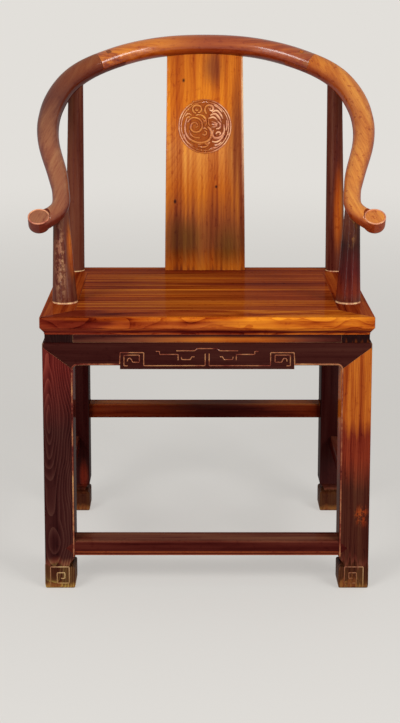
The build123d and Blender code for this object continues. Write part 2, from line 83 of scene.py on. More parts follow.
# Scales of the wood's noises per metre, along and across the grain
FIBRES = (3, 160)
PORES = (40, 900)
BLOTCHES = (70, 110)
BENDS = (5, 9)
SCUFFS = (16, 40)
WAVES = (10, 34)


# -------- settings

def srgb(red, green, blue):
    """Return the linear colour of three 8-bit values."""
    def linear(value):
        share = value / 255
        return share / 12.92 if share <= 0.04045 else ((share + 0.055) / 1.055) ** 2.4
    return linear(red), linear(green), linear(blue)


def tone(name, description, *rgb):
    """Return a colour setting."""
    return FloatVectorProperty(
        name=name, description=description, subtype="COLOR", min=0, max=1, default=srgb(*rgb)
    )


def amount(name, description, default, **more):
    """Return a number setting."""
    return FloatProperty(name=name, description=description, default=default, **more)


def length(name, description, millimetres):
    """Return a length setting with its default given in millimetres."""
    return amount(name, description, millimetres * MM, unit="LENGTH", precision=5)


class ChairWoods(bpy.types.PropertyGroup):
    """The tones of the chair's wood, from its palest to its darkest members."""
    # Cream is painted highlight: bright lines down the splat's edges and where the posts meet the
    # seat.
    cream: tone("Cream", "Brightest rubbed edges", 236, 188, 140)
    rose: tone("Rose", "Proud carving of the medallion", 226, 158, 118)
    # Pale is painted on eased edges, partly as worn edges and partly as painted highlight.
    pale: tone("Pale", "Rubbed edges and the fret", 168, 122, 88)
    straw: tone("Straw", "Worn patches of the feet", 134, 86, 42)
    hazel: tone("Hazel", "Feet", 72, 38, 20)
    olive: tone("Olive", "Dark patches low on the splat", 106, 60, 20)
    bronze: tone("Bronze", "Right leg and the seat's streaks", 162, 80, 24)
    amber: tone("Amber", "Upper splat", 208, 112, 26)
    orange: tone("Orange", "Bright streaks", 184, 94, 24)
    honey: tone("Honey", "Right arm", 200, 118, 52)
    tan: tone("Tan", "Left arm", 146, 86, 58)
    brown: tone("Brown", "Lower splat", 138, 68, 30)
    russet: tone("Russet", "Middle of the rail and the seat", 148, 62, 22)
    red: tone("Red", "Reddest parts of the seat's edge", 112, 38, 20)
    crimson: tone("Crimson", "Top of the left leg", 82, 20, 17)
    chestnut: tone("Chestnut", "Posts", 98, 48, 34)
    walnut: tone("Walnut", "Stretchers", 68, 30, 19)
    maroon: tone("Maroon", "Aprons", 54, 20, 16)
    umber: tone("Umber", "Legs", 50, 17, 15)


class ChairCarving(bpy.types.PropertyGroup):
    """Sizes of the worked edges and of the carving."""
    ease: length("Eased edge", "Width of the rubbed edge on every member", 1.1)
    joint_ease: length("Joint ease", "Width of the rubbed edge at flush joints", 0.4)
    bead_width: length("Bead width", "Bead along aprons and legs", 2.6)
    bead_rise: length("Bead rise", "How proud the bead stands", 0.9)
    bead_inset: length("Bead inset", "From an edge to the bead's middle", 2.2)
    bead_turn: length("Bead turn", "Radius of the corner between leg and apron", 8.0)
    bead_stop: length("Bead stop", "From the front's middle to the bead's end", 156.0)
    bead_foot: length("Bead foot", "Height of the bead's lower end", 62.0)
    leg_width: length("Leg width", "Of each leg's faces", 55.0)
    fret_width: length("Fret width", "Raised lines of the fret", 1.9)
    fret_rise: length("Fret rise", "How proud the fret stands", 1.1)
    medallion_radius: length("Medallion radius", "Of its outer ring", 55.0)
    medallion_height: length("Medallion height", "Of its middle above the floor", 804.0)
    medallion_rise: length("Medallion rise", "How proud the carving stands", 4.4)
    medallion_line: length("Medallion line", "Half width of the outer ring", 1.5)
    medallion_stroke: length("Medallion stroke", "Half width of a scroll of swell 1", 2.7)
    medallion_lift: length("Medallion lift", "Of the carving's middle off the splat", 0.4)
    medallion_ground: length("Medallion ground", "Thickness of the ground in the rings", 0.5)
    hand_radius: length("Hand radius", "Of the disc that ends each arm", 20.2)
    hand_bead: length("Hand bead", "Thickness of the disc's raised rim", 2.8)
    hand_out: length("Hand out", "From the middle plane to the disc's middle", 306.5)
    hand_depth: length("Hand depth", "From the seat's front edge back to the disc's middle", 95.5)
    hand_height: length("Hand height", "Of the arm's centre line at the disc", 669.3)
    hand_flat: length("Hand flat", "From the centre line to the disc's face", 10.0)
    rail_slope: amount("Rail slope", "Rise towards the back", radians(34.6), subtype="ANGLE")


class ChairStudio(bpy.types.PropertyGroup):
    """The floor, the lamps and the camera."""
    floor_tone: tone("Floor", "Plain pale floor", 226, 223, 218)
    backdrop_tone: tone("Backdrop", "Plain pale surroundings", 226, 223, 218)
    floor_evenness: amount("Evenness", "How little the floor's look varies", 0.55)
    floor_radius: length("Floor radius", "Where the floor ends", 6000)
    fill: amount("Fill", "Strength of the even light", 0.4)
    key_power: amount("Key", "Left lamp in watts", 49)
    side_power: amount("Side", "Right lamp in watts", 49)
    strip_power: amount("Strips", "Tall lamps in watts", 7)
    camera_place: FloatVectorProperty(
        name="Camera", description="Where the camera stands", subtype="TRANSLATION",
        default=(-0.0298, -2.943, 1.1126),
    )
    camera_pitch: amount("Pitch", "How far the camera looks down", radians(8.8), subtype="ANGLE")
    camera_lens: amount("Lens", "Focal length", 76.25, unit="CAMERA")
    shift_across: amount("Shift X", "Lens shift across", 0.0131)
    shift_up: amount("Shift Y", "Lens shift upwards", -0.2065)


# -------- shader maths

class Link:
    """A socket of a shader tree. Arithmetic on it adds Math nodes."""

    def __init__(self, tree, socket):
        self.tree = tree
        self.socket = socket

    def maths(self, operation, first, second):
        """Return a Math node's result on two values."""
        return self.tree.add("ShaderNodeMath", {"operation": operation}, {0: first, 1: second})

    def __add__(self, other):
        return self.maths("ADD", self, other)

    __radd__ = __add__

    def __sub__(self, other):
        return self.maths("SUBTRACT", self, other)

    def __rsub__(self, other):
        return self.maths("SUBTRACT", other, self)

    def __mul__(self, other):
        return self.maths("MULTIPLY", self, other)

    __rmul__ = __mul__

    def __truediv__(self, other):
        return self.maths("DIVIDE", self, other)

    def __pow__(self, other):
        return self.maths("POWER", self, other)

    def __mod__(self, other):
        return self.maths("FLOORED_MODULO", self, other)


class Tree:
    """Builds the nodes of one material or world."""

    def __init__(self, owner):
        owner.use_nodes = True
        self.nodes = owner.node_tree.nodes
        self.links = owner.node_tree.links
        self.nodes.clear()

    def add(self, kind, settings=None, sockets=None, output=0):
        """Add a node: its settings first, then its sockets' values or links."""
        node = self.nodes.new(kind)
        for key, value in (settings or {}).items():
            if key == "stops":
                elements = node.color_ramp.elements
                while len(elements) < len(value):
                    elements.new(1.0)
                for element, (place, colour) in zip(elements, value):
                    element.position = place
                    element.color = (*colour, 1.0)
            else:
                setattr(node, key, value)
        for key, value in (sockets or {}).items():
            if isinstance(value, Link):
                self.links.new(value.socket, node.inputs[key])
            else:
                node.inputs[key].default_value = value
        return Link(self, node.outputs[output])

    def vector_maths(self, operation, output, *values):
        """Return an output of a Vector Math node on one or two vectors."""
        settings = {"operation": operation}
        return self.add("ShaderNodeVectorMath", settings, dict(enumerate(values)), output)

    def dot(self, place, axis):
        """Return how far a place lies along an axis."""
        return self.vector_maths("DOT_PRODUCT", "Value", place, axis)

    def vector(self, x, y, z):
        """Join three numbers."""
        return self.add("ShaderNodeCombineXYZ", {}, {0: x, 1: y, 2: z})

    def noise(self, place, detail=2.0, roughness=0.5):
        """Return fractal noise of unit size, about 0.5."""
        sockets = {"Vector": place, "Scale": 1.0, "Detail": detail, "Roughness": roughness}
        return self.add("ShaderNodeTexNoise", {}, sockets, "Fac")

    def step(self, value, low, high, to_low=0.0, to_high=1.0):
        """Return a smooth step from to_low at low to to_high at high."""
        sockets = dict(enumerate((value, low, high, to_low, to_high)))
        return self.add("ShaderNodeMapRange", {"interpolation_type": "SMOOTHSTEP"}, sockets)

    def mix(self, share, first, second, blend="MIX"):
        """Mix two colours."""
        settings = {"data_type": "RGBA", "blend_type": blend}
        return self.add("ShaderNodeMix", settings, {0: share, 6: first, 7: second}, 2)

    def output(self, surface, kind="ShaderNodeOutputMaterial"):
        """Send a surface to the output."""
        node = self.nodes.new(kind)
        self.links.new(surface.socket, node.inputs["Surface"])


# -------- wood

def grain_axes(grain):
    """Return three unit axes, the first along the grain."""
    along = Vector(grain).normalized()
    helper = UP if abs(along.z) < 0.9 else RIGHT
    across = helper.cross(along).normalized()
    return along, across, along.cross(across)


def stain(centre, reach, colour, mottled=False):
    """Describe a soft patch of another tone: its middle and half sizes in millimetres."""
    return Vector(centre) * MM, Vector(reach) * MM, colour, mottled


def stained(tree, place, ground, stains, patches, blotches):
    """Lay the stains over a wood's ground colour."""
    for centre, reach, colour, mottled in stains:
        offset = tree.vector_maths("SUBTRACT", "Vector", place, centre)
        shares = tree.vector_maths("DIVIDE", "Vector", offset, reach)
        distance = tree.vector_maths("LENGTH", "Value", shares)
        share = tree.step(distance + (patches - 0.5) * 0.5, 1.5, 0.2)
        if mottled:
            share = share * tree.step(blotches, 0.44, 0.58)
        ground = tree.mix(share, ground, (*colour, 1.0))
    return ground


def wood(name, grain, run, seed, *, run_axis=None, wander=0.01, fray=0.01, figure=(2.5, 16),
         layers=1.0, drift=0.6, streak=0.9, mottle=0.25, rings=0.12, ring_width=2.6, pith=(50, 60),
         tilt=(0, 0), wobble=1.5, stains=(), painted_lit_side=None, gloss=0.25, gloss_rough=0.12):
    """Return a polished old hardwood.

    run lists places in metres along run_axis, or along the grain, with the wood's tone
    there, which patches make wander and fibres fray. figure scales the patches along and
    across the grain, and layers below 1 keep the streaks of a curved board whole. drift,
    streak, mottle and rings say how strongly patches, fibres, specks and growth rings show.
    pith is where the tree's heart lies beside the grain, in millimetres as ring_width is,
    and tilt how far it leans, which draws arches on a face. wobble bends the rings.
    painted_lit_side is the side painted lighter as painted light, and faces turned away from
    it are painted darker as painted shade.
    """
    material = bpy.data.materials.new(name)
    tree = Tree(material)
    place = tree.add("ShaderNodeTexCoord", output="Object")
    along, across, deep = (tree.dot(place, axis) for axis in grain_axes(grain))

    def grained(scales, detail, roughness=0.5):
        """Return noise that is drawn out along the grain."""
        lengthwise, crosswise = scales
        spot = tree.vector(
            along * lengthwise + seed, across * (crosswise * layers), deep * crosswise
        )
        return tree.noise(spot, detail, roughness)

    patches = tree.step(grained(figure, 3.0, 0.6), 0.3, 0.7)
    fibres = grained(FIBRES, 3.5, 0.6)
    pores = tree.step(grained(PORES, 2.0), 0.58, 0.72)
    blotches = grained(BLOTCHES, 3.0, 0.7)
    bend = grained(BENDS, 2.0)

    out = across - pith[0] * MM + along * tilt[0]
    down = deep - pith[1] * MM + along * tilt[1]
    radius = (out * out + down * down) ** 0.5 / (ring_width * MM) + (bend - 0.5) * (6 * wobble)
    late_wood = (radius % 1.0) ** 3

    first, last = run[0][0], run[-1][0]
    position = tree.dot(place, Vector(run_axis or grain).normalized())
    position = position + (patches - 0.5) * (2 * wander) + (fibres - 0.5) * (4 * fray)
    stops = [((where - first) / (last - first), colour) for where, colour in run]
    share = (position - first) / (last - first)
    ground = tree.add("ShaderNodeValToRGB", {"stops": stops}, {0: share}, "Color")
    ground = stained(tree, place, ground, stains, patches, blotches)

    specks = tree.step(blotches, 0.56, 0.7)
    depth = (
        1.0 + (patches - 0.5) * drift + (fibres - 0.5) * (1.6 * streak)
        - late_wood * rings - pores * 0.2 - specks * mottle
    )
    depth = depth.maths("MAXIMUM", depth, 0.15)
    # Painted light and shade: faces turned towards the given side are painted lighter and faces
    # turned away from it darker.
    if painted_lit_side:
        facing = tree.dot(tree.add("ShaderNodeNewGeometry", output="Normal"), painted_lit_side.normalized())
        depth = depth * tree.step(facing, 0.1, 0.95, 0.4, 1.15)
    tint = tree.vector(depth ** 0.8, depth ** 1.5, depth ** 1.3)
    colour = tree.mix(1.0, ground, tint, "MULTIPLY")

    # Eased edges are painted pale, partly as worn edges and partly as painted highlight. Negative
    # marks are painted near black: dark joints, and painted shade on faces set dark all over.
    wear_light_and_shade = tree.add("ShaderNodeAttribute", {"attribute_name": "edge_wear"}, {}, "Fac")
    rubbed_and_highlit = tree.step(wear_light_and_shade, 0.0, 1.0) * tree.step(grained(SCUFFS, 3.0, 0.7), 0.3, 0.6, 0.3, 0.95)
    joint_and_shade = tree.step(wear_light_and_shade, 0.0, -1.0) * 0.7
    pale = bpy.context.scene.chair_woods.pale
    colour = tree.mix(rubbed_and_highlit, colour, (*pale, 1.0))
    colour = tree.mix(joint_and_shade, colour, (0.004, 0.001, 0.001, 1.0))

    height = (
        grained(WAVES, 2.0) * 0.8 + fibres * 0.25 - pores * 0.2 - late_wood * (0.4 * abs(rings))
    )
    normal = tree.add(
        "ShaderNodeBump", {}, {"Strength": 0.3, "Distance": 1.0 * MM, "Height": height}
    )
    tree.output(tree.add("ShaderNodeBsdfPrincipled", {}, {
        "Base Color": colour,
        "Roughness": 0.38 + (patches - 0.5) * 0.12 + pores * 0.15 + rubbed_and_highlit * 0.06,
        "Normal": normal,
        "Specular IOR Level": 0.0,
        "Coat Weight": gloss,
        "Coat Roughness": gloss_rough,
    }))
    return material


def plain(colour):
    """Return a run of one tone."""
    return [(-0.5, colour), (0.5, colour)]


def band(height, reach, colour):
    """Return a level stained band round a piece."""
    return stain((0, 0, height), (EVERYWHERE, EVERYWHERE, reach), colour)


# -------- pieces

def linked(name, data):
    """Return a new object that is in the scene."""
    thing = bpy.data.objects.new(name, data)
    bpy.context.collection.objects.link(thing)
    return thing


def finish_piece(name, mesh, material, slot, *nodes, flat=True):
    """Make a smooth-shaded piece that rides on the chair and stands for its nodes.

    flat evens the shading of a piece that has flat faces beside its eased edges. A bent
    round piece goes without.
    """
    mesh.name = name
    mesh.materials.clear()
    mesh.materials.append(material)
    mesh.polygons.foreach_set("use_smooth", [True] * len(mesh.polygons))
    mesh.set_sharp_from_angle(angle=SMOOTH)
    piece = linked(name, mesh)
    if flat:
        piece.modifiers.new("even shading", "WEIGHTED_NORMAL").keep_sharp = True
    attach(piece, BODY)
    if nodes:
        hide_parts(*nodes)


def as_mesh(form):
    """Turn a bmesh into a mesh."""
    mesh = bpy.data.meshes.new("mesh")
    form.to_mesh(mesh)
    form.free()
    return mesh


def slot_of(node):
    """Return the record's material slot of a node."""
    return next(
        part["material_slot"] for part in frame["record"]["subparts"] if part["node"] == node
    )


def worked(node, material, ease, rub_and_highlight=None, flat=True, shaded_above=None):
    """Replace a node by a copy with eased edges.

    rub_and_highlight says how an eased edge looks at a place: 1 is painted pale, partly as a
    worn edge and partly as painted highlight, and -1 a dark joint. Faces that lie above the
    height shaded_above are painted dark all over as painted shade. A piece that isn't flat
    keeps its fine faces, which carry its shine.
    """
    form = bmesh.new()
    form.from_mesh(frame["nodes"][node].data)
    bmesh.ops.remove_doubles(form, verts=form.verts[:], dist=WELD)
    if flat:
        bmesh.ops.dissolve_limit(
            form, angle_limit=FLAT, use_dissolve_boundaries=False,
            verts=form.verts[:], edges=form.edges[:],
        )
    rubbed_and_highlit = form.loops.layers.float.new("edge_wear")
    creases = [
        edge for edge in form.edges if edge.is_manifold and edge.calc_face_angle() > CREASE
    ]
    eased = bmesh.ops.bevel(
        form, geom=creases, offset=ease, offset_type="OFFSET", segments=2, profile=0.5,
        affect="EDGES", clamp_overlap=True, material=-1,
    )
    for face in eased["faces"]:
        for corner in face.loops:
            corner[rubbed_and_highlit] = rub_and_highlight(corner.vert.co) if rub_and_highlight else 1.0
    # Painted shade: faces above the given height are marked dark all over.
    for face in form.faces:
        if shaded_above and min(vert.co.z for vert in face.verts) > shaded_above:
            for corner in face.loops:
                corner[rubbed_and_highlit] = -1.0
    finish_piece(f"{node}_wood", as_mesh(form), material, slot_of(node), node, flat=flat)


def softened(points, radius):
    """Round the corners of a run of (across, up) points."""
    run = [Vector(point) for point in points]
    soft = [run[0]]
    for before, corner, after in zip(run, run[1:], run[2:]):
        back = before - corner
        on = after - corner
        reach = min(radius, back.length * 0.45, on.length * 0.45)
        start = corner + back.normalized() * reach
        end = corner + on.normalized() * reach
        middle = (start + 2 * corner + end) / 4
        soft += [start, middle, end]
    return soft + [run[-1]]


def round_curve(radius, resolution):
    """Return an empty curve that is drawn as a round bar with closed ends."""
    curve = bpy.data.curves.new("line", "CURVE")
    curve.dimensions = "3D"
    curve.bevel_depth = radius
    curve.bevel_resolution = resolution
    curve.use_fill_caps = True
    return curve


def curve_mesh(curve):
    """Turn a curve into a mesh."""
    holder = bpy.data.objects.new("line", curve)
    mesh = bpy.data.meshes.new_from_object(holder)
    bpy.data.objects.remove(holder)
    bpy.data.curves.remove(curve)
    return mesh


def drawn_lines(lines, width, rise, outward, origin):
    """Return the mesh of rounded raised lines of (across, up) points on an upright face."""
    curve = round_curve(width / 2, 2)
    for line in lines:
        spline = curve.splines.new("POLY")
        spline.points.add(len(line) - 1)
        for point, (across, up) in zip(spline.points, line):
            point.co = (across, up, 0, 1)
    mesh = curve_mesh(curve)
    turn = Matrix((UP.cross(outward), UP, outward)).transposed().to_4x4()
    squash = Matrix.Diagonal((1, 1, 2 * rise / width, 1))
    mesh.transform(Matrix.Translation(origin) @ turn @ squash)
    return joined([mesh])


def joined(meshes):
    """Return one mesh made of several, with its faces outwards."""
    form = bmesh.new()
    for mesh in meshes:
        form.from_mesh(mesh)
        bpy.data.meshes.remove(mesh)
    bmesh.ops.recalc_face_normals(form, faces=form.faces[:])
    return as_mesh(form)


def mirrored(lines):
    """Return the lines and their mirror images across the middle."""
    return lines + [[(-across, up) for across, up in line] for line in lines]


def in_metres(lines):
    """Turn lines drawn in millimetres into metres."""
    return [[(across * MM, up * MM) for across, up in line] for line in lines]


# -------- rail

def rail_grain(side):
    """Return the direction of an arm's grain, from its joint to its hand."""
    low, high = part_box("rail_left_arm")
    return Vector((side * (high.x - low.x), low.y - high.y, low.z - high.z))


def rail_normal(carving):
    """Return the direction that the rail's sloping plane faces."""
    return Vector((0, -sin(carving.rail_slope), cos(carving.rail_slope)))


def dress_rail(woods, carving):
    """Dress the rail's three lengths, its pegs and the hands' rims."""
    hands = front_edge() + 200 * MM

    def rub_and_highlight(place):
        """Paint the hands' edges pale, partly worn and partly painted highlight, and leave the
        scarf joints dark.
        """
        return 1.0 if place.y < hands else -1.0

    run = [(-0.23, woods.russet), (-0.17, woods.orange), (-0.08, woods.orange),
           (0.0, woods.russet), (0.2, woods.russet), (0.23, woods.brown)]
    # Painted light and shade: the middle's front faces are painted lighter, and its back and
    # underside darker.
    middle = wood("rail_middle_wood", RIGHT, run, 3.1, wander=0.02, fray=0.03, figure=(3, 90),
                  drift=0.5, streak=0.7, painted_lit_side=Vector((0, -0.86, 0.5)), gloss=1.0,
                  gloss_rough=0.19)
    worked("rail_back", middle, carving.joint_ease, rub_and_highlight, flat=False)
    arms = {
        "left": (-1, (woods.brown, woods.chestnut, woods.tan, woods.tan), 7.7, 0.2),
        "right": (1, (woods.orange, woods.honey, woods.honey, woods.honey), 11.3, 0.5),
    }
    for name, (side, tones, seed, mottle) in arms.items():
        run = list(zip((-0.24, -0.08, 0.04, 0.2), tones))
        # Painted light and shade: the arms' upper faces are painted lighter and their sides
        # darker.
        material = wood(f"rail_{name}_arm_wood", rail_grain(side), run, seed, run_axis=FRONT,
                        figure=(5, 70), drift=0.3, streak=0.4, mottle=mottle,
                        painted_lit_side=rail_normal(carving), gloss=0.4)
        worked(f"rail_{name}_arm", material, carving.joint_ease, rub_and_highlight, flat=False)
        worked(f"rail_{name}_peg", material, carving.joint_ease, rub_and_highlight)
        # The rims are painted pale rose, partly as worn edges and partly as painted highlight.
        rim = wood(f"{name}_hand_rim_wood", RIGHT, plain(woods.rose), seed)
        hand_rim(name, side, rim, carving)


def spin_round(form, steps):
    """Turn a bmesh's outline once round the upright axis."""
    bmesh.ops.spin(
        form, geom=form.verts[:] + form.edges[:], axis=UP, cent=(0, 0, 0), angle=2 * pi,
        steps=steps, use_merge=True, use_duplicate=False,
    )
    bmesh.ops.remove_doubles(form, verts=form.verts[:], dist=WELD)
    bmesh.ops.recalc_face_normals(form, faces=form.faces[:])


def bead_ring(radius, half_width, steps):
    """Return the mesh of a round bead bent into a flat ring."""
    form = bmesh.new()
    bmesh.ops.create_circle(form, segments=10, radius=half_width)
    bmesh.ops.rotate(form, verts=form.verts[:], matrix=Matrix.Rotation(pi / 2, 3, "X"))
    bmesh.ops.translate(form, verts=form.verts[:], vec=(radius, 0, 0))
    spin_round(form, steps)
    return as_mesh(form)


def hand_rim(name, side, material, carving):
    """Raise the thin bead round a hand's disc."""
    bead = carving.hand_bead / 2
    depth = front_edge() + carving.hand_depth
    middle = Vector((side * carving.hand_out, depth, carving.hand_height))
    centre = middle + rail_normal(carving) * carving.hand_flat
    mesh = bead_ring(carving.hand_radius - bead, bead, 48)
    mesh.transform(Matrix.Translation(centre) @ Matrix.Rotation(carving.rail_slope, 4, "X"))
    finish_piece(f"{name}_hand_rim", mesh, material, "arm_wood")


def front_edge():
    """Return the y of the seat's front edge."""
    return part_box("seat_front_rail")[0].y


# -------- splat

def dress_splat(woods, carving):
    """Dress the splat."""
    low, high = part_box("back_splat")
    run = [(low.z, woods.brown), (0.515, woods.orange), (0.56, woods.brown), (0.61, woods.brown),
           (0.68, woods.orange), (0.76, woods.honey), (0.84, woods.amber), (high.z, woods.orange)]
    stains = (
        stain((70, 200, 760), (24, 90, 150), woods.brown),
        stain((-40, 175, 575), (44, 40, 42), woods.olive),
        stain((48, 175, 562), (32, 40, 44), woods.olive),
        stain((16, 240, 925), (22, 40, 40), woods.brown),
        stain((-44, 235, 897), (3, 40, 4), woods.hazel),
        stain((23, 190, 682), (2.5, 40, 3), woods.umber),
        stain((-62, 190, 652), (3, 40, 4), woods.umber),
        # The last three stains are painted highlights: bright lines down the splat's eased side
        # edges.
        stain((80, 230, 850), (4.6, 100, 170), woods.cream),
        stain((-81, 240, 900), (3.4, 100, 110), woods.rose),
        stain((-82, 200, 680), (3.8, 100, 160), woods.honey),
    )
    material = wood("splat_wood", UP, run, 5.2, fray=0.02, figure=(1.6, 60),
                    layers=0.06, streak=0.5, mottle=0.2, rings=0.16, ring_width=4.0,
                    pith=(-400, -60), tilt=(0, 0.1), stains=stains, gloss=0.2)
    worked("back_splat", material, 1.8 * carving.ease)


# Scrolls of the medallion: points in hundredths of its radius, and how many tenths the
# stroke swells to at its start, middle and end
MEDALLION_STROKES = [
    ([(-72, 28), (-78, -6), (-70, -36), (-45, -57), (-15, -63), (11, -55), (24, -36), (21, -12),
      (11, -2)], (6, 13, 10)),
    ([(-68, 15), (-57, 28), (-38, 32), (-19, 24), (-11, 7), (-15, -12), (-32, -23), (-50, -17),
      (-55, 0), (-46, 13), (-33, 11), (-28, 0), (-37, -5)], (7, 11, 7)),
    ([(-62, -16), (-55, -32), (-40, -42), (-20, -44)], (4, 10, 5)),
    ([(-10, -30), (0, -34), (6, -24), (-2, -17)], (5, 9, 6)),
    ([(-82, -30), (-76, -50), (-60, -68), (-46, -74)], (4, 9, 4)),
    ([(84, 24), (86, 4), (82, -16)], (4, 9, 4)),
    ([(36, 80), (54, 70), (68, 54)], (4, 9, 4)),
    ([(14, 28), (14, 12), (20, 0)], (4, 9, 5)),
    ([(42, -30), (50, -22), (60, -26), (58, -34)], (5, 9, 5)),
    ([(-12, 90), (0, 93), (12, 90)], (4, 9, 4)),
    ([(36, -72), (50, -70), (64, -60)], (4, 9, 4)),
    ([(14, -86), (30, -84), (44, -78)], (4, 9, 4)),
    ([(-30, 70), (-36, 66), (-32, 60), (-26, 63)], (4, 7, 4)),
    ([(12, 70), (19, 66), (24, 70)], (4, 7, 4)),
    ([(-74, 24), (-68, 34), (-58, 36)], (4, 8, 4)),
    ([(-4, 8), (-4, 20), (-10, 30)], (4, 8, 4)),
    ([(-10, -8), (2, -8), (8, -14)], (4, 8, 4)),
    ([(-36, 49), (-47, 60), (-44, 75), (-30, 80), (-16, 73), (-17, 56), (-28, 52)], (7, 12, 7)),
    ([(6, 47), (0, 62), (6, 77), (21, 80), (32, 70), (28, 60), (18, 62)], (7, 12, 6)),
    ([(28, 53), (44, 60), (61, 46), (70, 28)], (6, 11, 4)),
    ([(20, 42), (40, 47), (55, 33), (64, 16)], (6, 11, 4)),
    ([(14, 30), (34, 34), (49, 22)], (6, 10, 4)),
    ([(26, 18), (38, 14), (49, 8)], (4, 8, 6)),
    ([(26, 7), (38, 7), (48, 4)], (4, 8, 6)),
    ([(28, -4), (40, 0), (48, 1)], (4, 8, 6)),
    ([(50, 18), (60, 8), (57, -6), (44, -10)], (6, 10, 6)),
    ([(74, 6), (74, -23), (58, -42), (38, -44), (29, -31), (32, -16)], (6, 12, 7)),
    ([(28, -58), (44, -60), (61, -50), (76, -30)], (5, 9, 4)),
    ([(-34, -62), (-21, -69), (-6, -61), (8, -69), (19, -61)], (6, 11, 6)),
    ([(-26, -76), (-6, -80), (13, -74)], (6, 11, 6)),
    ([(-36, 42), (-19, 44), (-2, 34), (5, 15), (2, 0)], (5, 11, 5)),
    ([(-78, 38), (-66, 48), (-52, 42)], (5, 10, 5)),
]
MEDALLION_DROPS = [(-30, -84), (-14, -88), (2, -90), (16, -85), (0, -98), (-42, 90), (-52, 80),
                   (0, 20), (-62, 62), (86, -30)]


def medallion_strokes(radius, thickness):
    """Return the mesh of the tapering scrolls, lying flat."""
    curve = round_curve(thickness, 3)
    curve.resolution_u = 6
    for points, (start, middle, end) in MEDALLION_STROKES:
        spline = curve.splines.new("BEZIER")
        spline.bezier_points.add(len(points) - 1)
        for number, (knot, (across, up)) in enumerate(zip(spline.bezier_points, points)):
            knot.co = (across / 100 * radius, up / 100 * radius, 0)
            knot.handle_left_type = knot.handle_right_type = "AUTO"
            share = number / (len(points) - 1)
            swell = start + (middle - start) * sin(pi * min(share, 0.5))
            if share > 0.5:
                swell = end + (middle - end) * sin(pi * share)
            knot.radius = swell / 10
    return curve_mesh(curve)


def drop_mesh(across, up, radius):
    """Return the mesh of a small round drop."""
    form = bmesh.new()
    bmesh.ops.create_icosphere(form, subdivisions=2, radius=radius)
    bmesh.ops.translate(form, verts=form.verts[:], vec=(across, up, 0))
    return as_mesh(form)


def ground_disc(radius, thickness):
    """Return the mesh of a thin disc with rings of faces, so that it can follow a curve."""
    form = bmesh.new()
    rings = 8
    spoke = [form.verts.new((radius * ring / rings, 0, 0)) for ring in range(rings + 1)]
    for pair in zip(spoke, spoke[1:]):
        form.edges.new(pair)
    spin_round(form, 48)
    bmesh.ops.solidify(form, geom=form.faces[:], thickness=thickness)
    bmesh.ops.translate(form, verts=form.verts[:], vec=(0, 0, thickness))
    return as_mesh(form)


def lay_on_splat(mesh, height):
    """Stand a flat mesh up on the splat's curved face at a height."""
    splat = frame["nodes"]["back_splat"].data
    faces = [tuple(face.vertices) for face in splat.polygons]
    board = BVHTree.FromPolygons([vert.co.copy() for vert in splat.vertices], faces)
    for vert in mesh.vertices:
        across, up, out = vert.co
        start = Vector((across, front_edge(), up + height))
        hit, normal, _, _ = board.ray_cast(start, BACK)
        vert.co = hit + normal * out if normal.y < 0 else hit - normal * out


def carve_medallion(woods, carving):
    """Carve the round medallion: two rings, a low ground and coiled scrolls."""
    radius = carving.medallion_radius
    line = carving.medallion_line
    stroke = carving.medallion_stroke
    meshes = [
        bead_ring(radius - line, line, 72),
        bead_ring(radius - 4 * line, 0.8 * line, 72),
        medallion_strokes(radius * 0.96, stroke),
    ]
    meshes += [
        drop_mesh(across / 100 * radius, up / 100 * radius, stroke)
        for across, up in MEDALLION_DROPS
    ]
    carved = joined(meshes)
    thickest = max(max(swells) for _, swells in MEDALLION_STROKES) / 10 * stroke
    for vert in carved.vertices:
        vert.co.z = vert.co.z * carving.medallion_rise / thickest + carving.medallion_lift
    lay_on_splat(carved, carving.medallion_height)
    # Painted highlight: the run paints the carving rose towards its left and right sides, honey
    # between. Painted light and shade: faces turned to the front are lighter, and their sides
    # darker.
    run = [(-0.055, woods.rose), (-0.042, woods.rose), (-0.028, woods.honey),
           (0.005, woods.honey), (0.022, woods.rose), (0.055, woods.rose)]
    material = wood("medallion_wood", RIGHT, run, 2.4, wander=0.006, drift=0.5, painted_lit_side=FRONT,
                    gloss=0.8, gloss_rough=0.2)
    finish_piece("splat_medallion", carved, material, "splat_wood")
    ground = joined([ground_disc(radius - line, carving.medallion_ground)])
    lay_on_splat(ground, carving.medallion_height)
    run = [(-0.06, woods.bronze), (0.0, woods.bronze), (0.03, woods.brown), (0.06, woods.brown)]
    material = wood("medallion_ground_wood", UP, run, 2.9, run_axis=RIGHT, drift=0.3, streak=0.4,
                    mottle=0.6)
    finish_piece("splat_medallion_ground", ground, material, "splat_wood")


# -------- posts and legs

def dress_posts(woods, carving):
    """Dress the two front posts."""
    # The pale stops at the foot of each post paint a thin highlight line where it stands on the
    # seat.
    base = [(0.5095, woods.cream), (0.512, woods.cream), (0.5135, woods.chestnut)]
    members = {
        "front_left_post": (
            base + [(0.7, woods.chestnut)], 4.4,
            (stain((-270, -166, 590), (11, 20, 70), woods.pale, mottled=True),
             # Painted light: this orange stain brightens the post's lit inner side.
             stain((-250, -158, 618), (8, 24, 52), woods.orange)),
        ),
        "front_right_post": (
            base + [(0.53, woods.red), (0.57, woods.crimson), (0.62, woods.maroon),
                    (0.66, woods.chestnut), (0.7, woods.chestnut)], 9.1,
            (stain((268, -166, 650), (10, 20, 30), woods.straw, mottled=True),),
        ),
    }
    for node, (run, seed, stains) in members.items():
        material = wood(f"{node}_wood", UP, run, seed, wander=0, fray=0, figure=(5, 90),
                        streak=1.1, stains=stains)
        worked(node, material, carving.ease)


